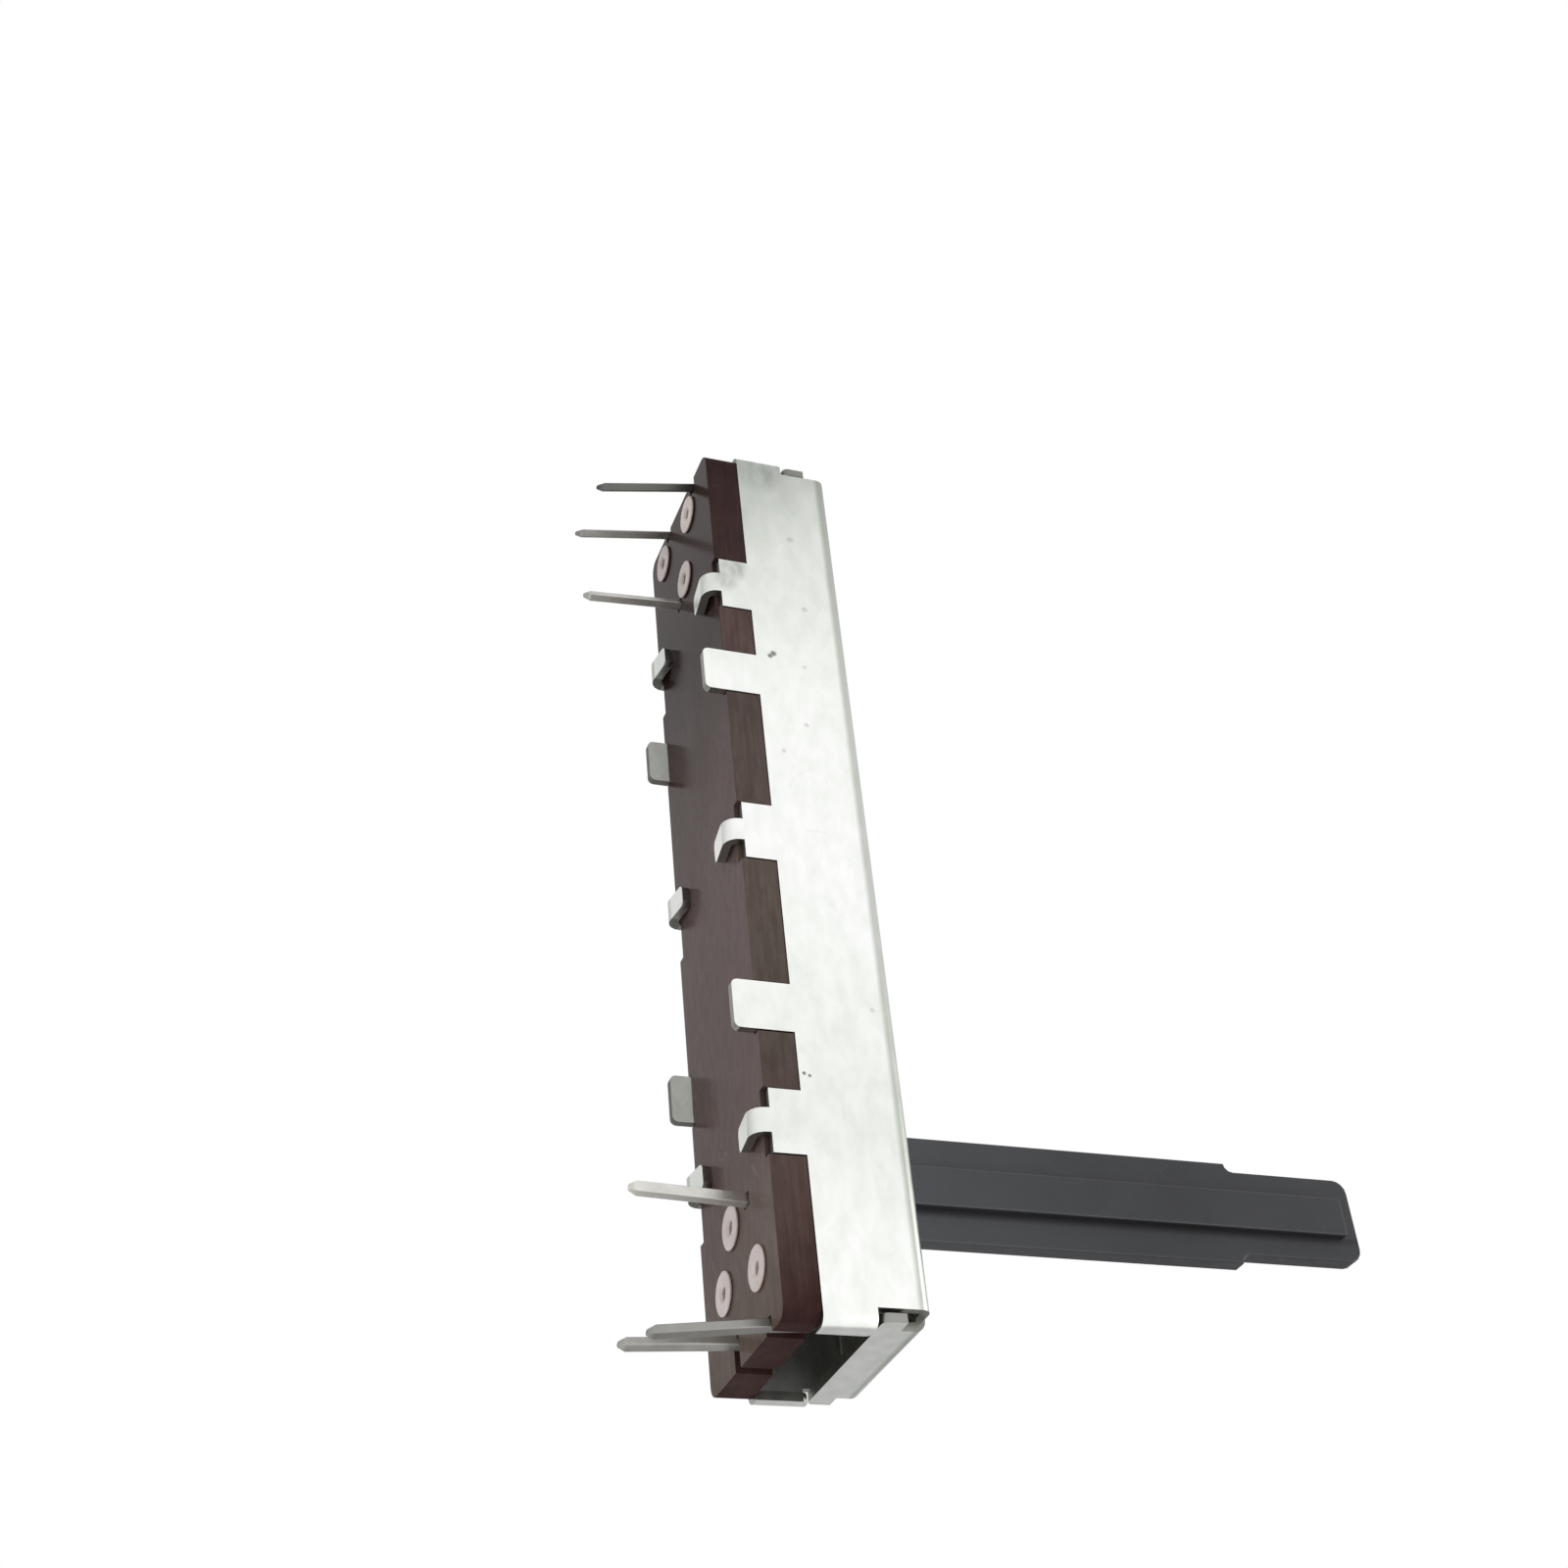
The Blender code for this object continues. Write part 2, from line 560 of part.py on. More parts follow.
def rivet(name, spot, parent):
    """Hollow rivet turned from a profile: wide rolled flange below, small head on the strip."""
    centre = rivet_point(spot)
    quarter = math.pi / 2
    top = STRIP_TOP_Z + SEAT_GAP
    bottom = -SEAT_GAP
    roll = RIVET_FLANGE_THICKNESS / 2
    lower = arc((RIVET_FLANGE_RADIUS - roll, bottom - roll), roll, quarter, -quarter, 3)
    upper = arc((RIVET_HEAD_RADIUS - roll, top + roll), roll, quarter, -quarter, 3)
    mouth = RIVET_BORE_RADIUS + RIVET_FLANGE_THICKNESS
    bore = [(mouth, bottom - RIVET_FLANGE_THICKNESS), (RIVET_BORE_RADIUS, bottom),
            (RIVET_BORE_RADIUS, top), (mouth, top + RIVET_FLANGE_THICKNESS)]
    profile = upper + [(RIVET_BARREL_RADIUS, top), (RIVET_BARREL_RADIUS, bottom)] + lower + bore
    bm = bmesh.new()
    verts = [bm.verts.new((r, 0, z)) for r, z in profile]
    edges = [bm.edges.new(pair) for pair in zip(verts, verts[1:] + verts[:1])]
    bmesh.ops.spin(bm, geom=verts + edges, cent=(0, 0, 0), axis=(0, 0, 1), angle=2 * math.pi,
                   steps=RIVET_STEPS, use_merge=True)
    bmesh.ops.translate(bm, verts=bm.verts[:], vec=(centre.x, centre.y, 0))
    add_object(name, bm, parent, RIVET_TIN)


def lever_blade():
    """Flat blade with a narrower tip, in the XZ plane, with its long edges eased."""
    half, tip_half = LEVER_WIDTH / 2, LEVER_TIP_WIDTH / 2
    quarter = math.pi / 2
    step_in = half - tip_half
    step_top = LEVER_STEP_Z + LEVER_STEP_HEIGHT
    concave = arc((half, step_top), step_in, -quarter, -math.pi, 3)
    corner = arc((tip_half - LEVER_CORNER_RADIUS, LEVER_TIP_Z - LEVER_CORNER_RADIUS),
                 LEVER_CORNER_RADIUS, 0, quarter, 4)
    right = [(half, lever_root_z()), *concave, *corner]
    outline = right + [(-x, z) for x, z in reversed(right)]
    bm = bmesh.new()
    prism(bm, outline, -LEVER_THICKNESS / 2, LEVER_THICKNESS / 2)
    caps = [face for face in bm.faces if len(face.verts) == len(outline)]
    ease_edges(bm, list({edge for cap in caps for edge in cap.edges}), LEVER_EDGE_RADIUS)
    bmesh.ops.rotate(bm, verts=bm.verts[:], cent=(0, 0, 0), matrix=Matrix.Rotation(quarter, 3, "X"))
    return bm


def lever_root_z():
    """Height inside the carriage plate where the blade and its ribs start."""
    return PLATE_TOP_Z - CARRIAGE_PLATE / 2


def slider(parent):
    """One moulding: carriage with side rails, lever with a rib on each face, and wiper stakes."""
    half_l, half_w = CARRIAGE_LENGTH / 2, CARRIAGE_WIDTH / 2
    item = add_object("slider", lever_blade(), parent, LEVER_PLASTIC)
    ribs = bmesh.new()
    rib_half = LEVER_THICKNESS / 2 + RIB_THICKNESS
    verts = box(ribs, (-RIB_WIDTH / 2, -rib_half, lever_root_z()),
                (RIB_WIDTH / 2, rib_half, LEVER_TIP_Z - RIB_END_GAP))
    ease_edges(ribs, list({edge for vert in verts for edge in vert.link_edges}), LEVER_EDGE_RADIUS)
    apply_tool(item, "ribs", ribs, "UNION")

    plate = bmesh.new()
    box(plate, (-half_l, -half_w, CARRIAGE_FLOOR_Z), (half_l, half_w, PLATE_TOP_Z))
    apply_tool(item, "plate", plate, "UNION")
    rails = bmesh.new()
    for side in (-1, 1):
        y0, y1 = span(side * (half_w - RAIL_WIDTH), side * half_w)
        box(rails, (-half_l, y0, CARRIAGE_FLOOR_Z), (half_l, y1, RAIL_TOP_Z))
    apply_tool(item, "rails", rails, "UNION")
    boss = bmesh.new()
    boss_half = LEVER_WIDTH / 2 + BOSS_MARGIN
    box(boss, (-boss_half, -BOSS_WIDTH / 2, lever_root_z()),
        (boss_half, BOSS_WIDTH / 2, RAIL_TOP_Z - RUNNING_GAP))
    for x, y in stake_places():
        cylinder(boss, x, y, STAKE_RADIUS, CARRIAGE_FLOOR_Z - STAKE_DROP,
                 CARRIAGE_FLOOR_Z + STAKE_DROP, STAKE_STEPS)
    apply_tool(item, "boss_and_stakes", boss, "UNION")
    pocket = bmesh.new()
    pocket_half = SPRING_LENGTH / 2 + RUNNING_GAP
    box(pocket, (-pocket_half, half_w - SPRING_POCKET_DEPTH, CARRIAGE_FLOOR_Z - RUNNING_GAP),
        (pocket_half, half_w + RUNNING_GAP, SPRING_Z + SPRING_HEIGHT / 2 + RUNNING_GAP))
    apply_tool(item, "spring_pocket", pocket, "DIFFERENCE")


def wiper_path():
    """Base, bend down, sloping finger and rolled contact tip, along the wiper's upper face."""
    fall = WIPER_TOP_Z - WIPER_THICKNESS - TRACK_TOP_Z - SEAT_GAP
    bends_fall = (FINGER_BEND_RADIUS + FINGER_TIP_RADIUS) * (1 - math.cos(FINGER_SLOPE))
    slope = (fall - bends_fall) / math.sin(FINGER_SLOPE)
    return [(0, WIPER_BASE_LENGTH), (FINGER_BEND_RADIUS, FINGER_SLOPE), (0, slope),
            (-FINGER_TIP_RADIUS, -2 * FINGER_SLOPE)]


def contact_x():
    """X of the contact line, half way round the rolled tip, from the slider's middle."""
    path = wiper_path()
    distance = sum(step_length(step) for step in path) - step_length(path[-1]) / 2
    return WIPER_BASE_X - walk(path, distance, WIPER_THICKNESS)[0]


def stake_places():
    x = WIPER_BASE_X - WIPER_BASE_LENGTH / 2
    middle = (RESISTIVE_Y + COLLECTOR_Y) / 2
    return [(x, side * middle + step * WIPER_BASE_WIDTH / 4) for side in (-1, 1) for step in (-1, 1)]


def wiper(name, side, parent):
    """Sprung comb: a base staked under the carriage and two pairs of fingers on two tracks."""
    path = wiper_path()
    lines = path_lines(path)
    middle = side * (RESISTIVE_Y + COLLECTOR_Y) / 2
    rectangles = [(0, WIPER_BASE_LENGTH, -WIPER_BASE_WIDTH / 2, WIPER_BASE_WIDTH / 2)]
    for track_y in (RESISTIVE_Y, COLLECTOR_Y):
        for step in (-1, 1):
            finger = side * track_y - middle + step * FINGER_PITCH / 2
            rectangles.append((0, lines[-1], finger - FINGER_WIDTH / 2, finger + FINGER_WIDTH / 2))

    def fold(u, v, depth):
        along, down = walk(path, u, depth)
        return WIPER_BASE_X - along, middle + v, WIPER_TOP_Z - down

    bm = folded_sheet(rectangles, lines, [], WIPER_THICKNESS, fold)
    item = add_object(name, bm, parent, SPRING_METAL)
    holes = bmesh.new()
    for x, y in stake_places():
        if y * side > 0:
            cylinder(holes, x, y, STAKE_RADIUS + SEAT_GAP, CARRIAGE_FLOOR_Z - 2 * STAKE_DROP,
                     CARRIAGE_FLOOR_Z + STAKE_DROP, STAKE_STEPS)
    apply_tool(item, "stake_holes", holes, "DIFFERENCE")


def drag_spring(parent):
    """Bowed leaf in the rail's pocket, whose crown rubs on the housing wall."""
    half = SPRING_LENGTH / 2
    bow = [(SPRING_BOW_RADIUS, half / SPRING_BOW_RADIUS)]
    lines = [end * line for end in (-1, 1) for line in path_lines(bow)]
    crown_y = WALL_TO_WALL / 2 - SEAT_GAP

    def fold(u, v, depth):
        along, inward = walk(bow, abs(u), depth)
        return math.copysign(along, u), crown_y - inward, SPRING_Z + v

    rectangles = [(-half, half, -SPRING_HEIGHT / 2, SPRING_HEIGHT / 2)]
    bm = folded_sheet(rectangles, lines, [], SPRING_THICKNESS, fold)
    add_object("drag_spring", bm, parent, SPRING_METAL)


def build():
    clear_scene()
    base = body_frame("base_frame", 0.0)
    moving = body_frame("slider_frame", SLIDER_REST_X)
    housing_shell(base)
    terminal_board(base)
    printed_tracks(base)
    for number, (name, spot) in enumerate(TERMINALS.items(), start=1):
        terminal(name, base)
        rivet(f"rivet_{number}", spot, base)
    slider(moving)
    wiper("wiper_a", -1, moving)
    wiper("wiper_b", 1, moving)
    drag_spring(moving)


build()
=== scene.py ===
"""Looks of the slide potentiometer: finishes, eased edges, small marks, light and camera."""
import json
import math

import bmesh
import bpy
from mathutils import Matrix, Vector
from mathutils.bvhtree import BVHTree

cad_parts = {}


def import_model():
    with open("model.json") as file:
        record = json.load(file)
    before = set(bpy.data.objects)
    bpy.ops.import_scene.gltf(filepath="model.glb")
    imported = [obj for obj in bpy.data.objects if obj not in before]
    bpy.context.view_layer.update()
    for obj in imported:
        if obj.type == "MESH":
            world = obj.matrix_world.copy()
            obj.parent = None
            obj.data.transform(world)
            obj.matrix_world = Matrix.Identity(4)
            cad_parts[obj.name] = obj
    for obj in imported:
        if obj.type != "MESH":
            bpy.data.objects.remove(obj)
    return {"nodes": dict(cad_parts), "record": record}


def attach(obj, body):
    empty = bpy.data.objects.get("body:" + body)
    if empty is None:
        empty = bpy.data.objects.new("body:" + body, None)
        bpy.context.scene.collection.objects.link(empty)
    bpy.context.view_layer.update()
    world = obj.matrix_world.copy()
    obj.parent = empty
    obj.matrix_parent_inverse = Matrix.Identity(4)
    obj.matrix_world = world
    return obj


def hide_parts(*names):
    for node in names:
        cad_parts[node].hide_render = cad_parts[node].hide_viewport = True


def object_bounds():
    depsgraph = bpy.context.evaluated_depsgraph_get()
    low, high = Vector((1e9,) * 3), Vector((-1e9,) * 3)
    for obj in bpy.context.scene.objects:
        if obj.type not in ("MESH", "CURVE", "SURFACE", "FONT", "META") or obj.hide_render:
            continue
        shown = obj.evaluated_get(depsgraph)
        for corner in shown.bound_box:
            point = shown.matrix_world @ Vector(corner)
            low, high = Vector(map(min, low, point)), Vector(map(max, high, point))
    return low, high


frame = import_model()
CAD_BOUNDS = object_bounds()

MM = 0.001

# Camera: where it stands, what it looks at, how it is rolled, and its lens on a 36 mm sensor
CAMERA_PLACE = (56.28, -81.90, -30.66)
CAMERA_TARGET = (-2.753, -4.5, 2.338)
CAMERA_ROLL = math.radians(-97.664)
CAMERA_LENS = 52.586
SENSOR_WIDTH = 36.0
CLIP_START = 1.0

# Width of the eased edges of each finish
EDGE_EASE = {
    "tinned_steel": 0.05,
    "phenolic": 0.035,
    "carbon_track": 0.0,
    "silver_track": 0.0,
    "tinned_brass": 0.06,
    "rivet_tin": 0.0,
    "black_plastic": 0.05,
    "spring_bronze": 0.0,
}

# Angles above which an edge stays sharp or is eased, and below which two faces are one
SHARP_ANGLE = math.radians(32)
EASED_ANGLE = math.radians(50)
FLAT_ANGLE = math.radians(1.0)
WELD_DISTANCE = 0.0005

# A face broader than this is flat and sets the shading at its rim
FLAT_BREADTH = 0.22
STRONG = 16384

# Housing: sheet, rounded tips of its legs, tongues and flaps, and its tapped holes
SHEET_THICKNESS = 0.4
SHEET_SLACK = 0.03
TIP_RADIUS = 0.27
FIXING_X = 20.3
THREAD_RADIUS = 0.95
THREAD_PITCH = 0.4
HALF_LENGTH = 22.8
WALL_Y = -4.5
RAY_START = 0.01

# Where the corners to round are: below this height, or at the flaps' lower ends near either end
TIP_LEVEL = -0.1
FLAP_FOOT = (3.9, 4.3)
END_DEPTH = 1.0

# Heights of the band of painted shade at the top bend, and the height and depth past which the tin is matt
BEND_SHADE_BAND = (5.0, 6.4)
MATT_BELOW = -0.03
MATT_BEYOND = 3.6

# Lever: heights between which its paler root fades, and the stretch along X of the painted shade by its
# rib
LEVER_ROOT = (7.0, 17.0)
RIB_SHADE = (15.0, 17.0)

# Darkening of each terminal and rivet, from bright to dark; on the rivets it is painted shade
DARKENING = {
    "terminal_1": 0.9, "terminal_2": 0.55, "terminal_3": 0.2,
    "terminal_4": 0.0, "terminal_5": 0.6, "terminal_6": 0.45,
    "rivet_1": 0.1, "rivet_2": 0.45, "rivet_3": 0.3,
    "rivet_4": 0.0, "rivet_5": 0.0, "rivet_6": 0.0,
}

# Studio
FLOOR_SIZE = 900.0
FLOOR_GLOW = 0.42
WHITE = (1.0, 1.0, 1.0, 1.0)
LIGHT_SIDE = (-0.25, -0.9, 0.35)
DARK_SIDE = (0.574, 0.753, 0.321)
LAMP_PLACE = (60, -120, 260)
LAMP_SIZE = 220
LAMP_POWER = 0.25


def colour(red, green, blue):
    """Linear colour of a finish that reads as these 8-bit values."""
    def linear(value):
        share = value / 255
        return share / 12.92 if share <= 0.04045 else ((share + 0.055) / 1.055) ** 2.4
    return (linear(red), linear(green), linear(blue), 1.0)


# Node building
def add(tree, kind, place, **settings):
    """Add a node, set its properties, and set or link its inputs given by name or number."""
    node = tree.nodes.new(kind)
    node.location = place
    inputs = settings.pop("inputs", {})
    for name, value in settings.items():
        setattr(node, name, value)
    for key, value in inputs.items():
        if isinstance(value, bpy.types.NodeSocket):
            tree.links.new(value, node.inputs[key])
        else:
            node.inputs[key].default_value = value
    return node


def maths(tree, place, operation, first, second=0.0, clamp=False):
    return add(tree, "ShaderNodeMath", place, operation=operation, use_clamp=clamp,
               inputs={0: first, 1: second}).outputs[0]


def ramp(tree, place, factor, stops):
    """Colour ramp through (position, grey or colour) stops."""
    node = add(tree, "ShaderNodeValToRGB", place, inputs={"Fac": factor})
    elements = node.color_ramp.elements
    while len(elements) < len(stops):
        elements.new(0.5)
    for element, (position, value) in zip(elements, stops):
        element.position = position
        element.color = value if isinstance(value, tuple) else (value, value, value, 1.0)
    return node.outputs["Color"]


def mix_colour(tree, place, factor, first, second, blend="MIX"):
    node = add(tree, "ShaderNodeMix", place, data_type="RGBA", blend_type=blend)
    for key, value in ((0, factor), (6, first), (7, second)):
        if isinstance(value, bpy.types.NodeSocket):
            tree.links.new(value, node.inputs[key])
        else:
            node.inputs[key].default_value = value
    return node.outputs[2]


def value_map(tree, place, value, low, high, to_low, to_high):
    keys = {"Value": value, "From Min": low, "From Max": high, "To Min": to_low, "To Max": to_high}
    return add(tree, "ShaderNodeMapRange", place, inputs=keys).outputs["Result"]


def new_group(name, inputs, outputs):
    """Empty shader node group with float, colour or vector sockets."""
    group = bpy.data.node_groups.new(name, "ShaderNodeTree")
    for label, kind, value in inputs:
        socket = group.interface.new_socket(label, in_out="INPUT", socket_type=kind)
        if value is not None:
            socket.default_value = value
    for label, kind in outputs:
        group.interface.new_socket(label, in_out="OUTPUT", socket_type=kind)
    start = add(group, "NodeGroupInput", (-900, 0))
    end = add(group, "NodeGroupOutput", (700, 0))
    return group, start, end


def use_group(tree, group, place, **values):
    inputs = {key.replace("_", " "): value for key, value in values.items()}
    return add(tree, "ShaderNodeGroup", place, node_tree=group, inputs=inputs)


def object_place(tree, place):
    return add(tree, "ShaderNodeTexCoord", place).outputs["Object"]


def clouding_group():
    """Soft patches of tint and gloss, as on tin, laminate and moulded plastic."""
    sockets = [("Scale", "NodeSocketFloat", 400.0), ("Stretch", "NodeSocketFloat", 1.0)]
    group, start, end = new_group("clouding", sockets, [("Cloud", "NodeSocketFloat"),
                                                        ("Fine", "NodeSocketFloat")])
    along = add(group, "ShaderNodeCombineXYZ", (-700, -100),
                inputs={"X": start.outputs["Stretch"], "Y": 1.0, "Z": 1.0}).outputs[0]
    spread = add(group, "ShaderNodeVectorMath", (-500, -150), operation="MULTIPLY",
                 inputs={0: object_place(group, (-900, -250)), 1: along}).outputs[0]
    broad = add(group, "ShaderNodeTexNoise", (-250, 100), inputs={
        "Vector": spread, "Scale": start.outputs["Scale"], "Detail": 4.0, "Roughness": 0.55})
    finer = maths(group, (-450, -350), "MULTIPLY", start.outputs["Scale"], 9.0)
    fine = add(group, "ShaderNodeTexNoise", (-250, -250), inputs={
        "Vector": spread, "Scale": finer, "Detail": 3.0, "Roughness": 0.6})
    group.links.new(broad.outputs["Fac"], end.inputs["Cloud"])
    group.links.new(fine.outputs["Fac"], end.inputs["Fine"])
    return group


def drawn_lines_group():
    """Fine lines that run along X, as rolling and sliding leave them, from 0 to 1."""
    sockets = [("Scale", "NodeSocketFloat", 4000.0)]
    group, start, end = new_group("drawn_lines", sockets, [("Lines", "NodeSocketFloat")])
    squeezed = add(group, "ShaderNodeVectorMath", (-600, -150), operation="MULTIPLY",
                   inputs={0: object_place(group, (-900, -250)), 1: (0.015, 1.0, 1.0)}).outputs[0]
    noise = add(group, "ShaderNodeTexNoise", (-300, 0), inputs={
        "Vector": squeezed, "Scale": start.outputs["Scale"], "Detail": 2.0, "Roughness": 0.5})
    group.links.new(noise.outputs["Fac"], end.inputs["Lines"])
    return group


def hairlines_group():
    """Sparse wandering scratches of handling, as a mask from 0 to 1."""
    sockets = [("Scale", "NodeSocketFloat", 300.0), ("Width", "NodeSocketFloat", 0.006),
               ("Share", "NodeSocketFloat", 0.5)]
    group, start, end = new_group("hairlines", sockets, [("Hairlines", "NodeSocketFloat")])
    place = object_place(group, (-900, -250))
    path = add(group, "ShaderNodeTexNoise", (-600, 0), inputs={
        "Vector": place, "Scale": start.outputs["Scale"], "Detail": 1.0, "Distortion": 0.6})
    offset = maths(group, (-500, 0), "SUBTRACT", path.outputs["Fac"], 0.5)
    apart = maths(group, (-400, 0), "ABSOLUTE", offset)
    line = value_map(group, (-150, 0), apart, 0.0, start.outputs["Width"], 1.0, 0.0)
    patch = add(group, "ShaderNodeTexNoise", (-600, -300), inputs={
        "Vector": place, "Scale": maths(group, (-800, -400), "MULTIPLY", start.outputs["Scale"], 1.7)})
    chosen = value_map(group, (-150, -300), patch.outputs["Fac"], start.outputs["Share"],
                       maths(group, (-350, -450), "ADD", start.outputs["Share"], 0.08), 0.0, 1.0)
    group.links.new(maths(group, (150, 0), "MULTIPLY", line, chosen), end.inputs["Hairlines"])
    return group


def spot_group():
    """One round mark with a soft rim, at a place in the part's frame, as a mask from 0 to 1."""
    sockets = [("Place", "NodeSocketVector", None), ("Radius", "NodeSocketFloat", 0.0002)]
    group, start, end = new_group("spot", sockets, [("Spot", "NodeSocketFloat")])
    distance = add(group, "ShaderNodeVectorMath", (-600, 0), operation="DISTANCE", inputs={
        0: object_place(group, (-900, -250)), 1: start.outputs["Place"]}).outputs["Value"]
    core = maths(group, (-400, -150), "MULTIPLY", start.outputs["Radius"], 0.45)
    mask = value_map(group, (-150, 0), distance, core, start.outputs["Radius"], 1.0, 0.0)
    group.links.new(mask, end.inputs["Spot"])
    return group


def thread_group():
    """Grooves of a tapped hole at a place along X, as a height from 0 to 1 inside its radius."""
    sockets = [("Hole X", "NodeSocketFloat", 0.0)]
    group, start, end = new_group("thread", sockets, [("Groove", "NodeSocketFloat")])
    parts = add(group, "ShaderNodeSeparateXYZ", (-700, 0),
                inputs={0: object_place(group, (-900, -250))}).outputs
    across = maths(group, (-500, 100), "SUBTRACT", parts["X"], start.outputs["Hole X"])
    turn = maths(group, (-300, 200), "ARCTAN2", parts["Y"], across)
    climb = maths(group, (-500, -100), "MULTIPLY", parts["Z"], 2 * math.pi / (THREAD_PITCH * MM))
    wave = maths(group, (0, 100), "SINE", maths(group, (-150, 100), "ADD", turn, climb))
    flat = add(group, "ShaderNodeCombineXYZ", (-300, -250), inputs={"X": across, "Y": parts["Y"]})
    radius = add(group, "ShaderNodeVectorMath", (-150, -250), operation="LENGTH",
                 inputs={0: flat.outputs[0]}).outputs["Value"]
    inside = maths(group, (0, -250), "LESS_THAN", radius, THREAD_RADIUS * MM)
    lifted = value_map(group, (200, 100), wave, -1.0, 1.0, 0.0, 1.0)
    group.links.new(maths(group, (400, 0), "MULTIPLY", lifted, inside), end.inputs["Groove"])
    return group


CLOUDING = clouding_group()
DRAWN_LINES = drawn_lines_group()
HAIRLINES = hairlines_group()
SPOT = spot_group()
THREAD = thread_group()


# Finishes
def new_material(name):
    material = bpy.data.materials.new(name)
    material.use_nodes = True
    shader = material.node_tree.nodes["Principled BSDF"]
    shader.location = (900, 0)
    material.node_tree.nodes["Material Output"].location = (1250, 0)
    return material, material.node_tree, shader


def bump(tree, shader, height, strength, distance):
    node = add(tree, "ShaderNodeBump", (650, -400), inputs={
        "Strength": strength, "Distance": distance, "Height": height})
    tree.links.new(node.outputs["Normal"], shader.inputs["Normal"])


def marks(tree, places, row=-500):
    """Largest of several spot masks, from (x, y, z, radius) in millimetres."""
    total = None
    for index, (x, y, z, radius) in enumerate(places):
        spot = use_group(tree, SPOT, (-700, row - 160 * index), Radius=radius * MM)
        spot.inputs["Place"].default_value = (x * MM, y * MM, z * MM)
        mask = spot.outputs["Spot"]
        if total is not None:
            mask = maths(tree, (-450, row - 160 * index), "MAXIMUM", total, mask)
        total = mask
    return total


def length_share(tree, place, wander):
    """Share of the housing's length from 0 at -X to 1 at +X, moved about by a mask."""
    point = object_place(tree, (place[0] - 200, place[1]))
    x = add(tree, "ShaderNodeSeparateXYZ", place, inputs={0: point})
    share = value_map(tree, (place[0] + 180, place[1]), x.outputs["X"],
                      -HALF_LENGTH * MM, HALF_LENGTH * MM, 0.0, 1.0)
    shift = value_map(tree, (place[0] + 180, place[1] - 200), wander, 0.3, 0.7, -0.05, 0.05)
    return maths(tree, (place[0] + 360, place[1]), "ADD", share, shift, clamp=True)


def cut_mask(tree, place):
    """1 on a sheet's or board's cut edges, 0 on its broad faces."""
    return add(tree, "ShaderNodeAttribute", place, attribute_name="cut").outputs["Fac"]


# Marks on the near wall: dark specks, faint ones, and darker matt patches near -X; at the wall's curved
# end these are painted shade
DARK_SPECKS = [(-10.28, WALL_Y, 2.5, 0.2), (-10.12, WALL_Y, 2.33, 0.17), (11.93, WALL_Y, 1.86, 0.11),
               (12.02, WALL_Y, 2.1, 0.1)]
FAINT_SPECKS = [(-17.66, WALL_Y, 4.02, 0.22), (-13.31, WALL_Y, 4.36, 0.2), (-9.73, WALL_Y, 4.01, 0.14),
                (-6.3, WALL_Y, 3.77, 0.16), (-4.64, WALL_Y, 2.51, 0.14), (8.59, WALL_Y, 5.28, 0.14)]
DULL_AND_SHADED_PATCHES = [(-22.6, WALL_Y, 4.1, 0.8), (-21.9, WALL_Y, 2.6, 1.6), (-15.2, WALL_Y, 0.9, 0.9),
                (-14.4, WALL_Y, 0.4, 0.8)]


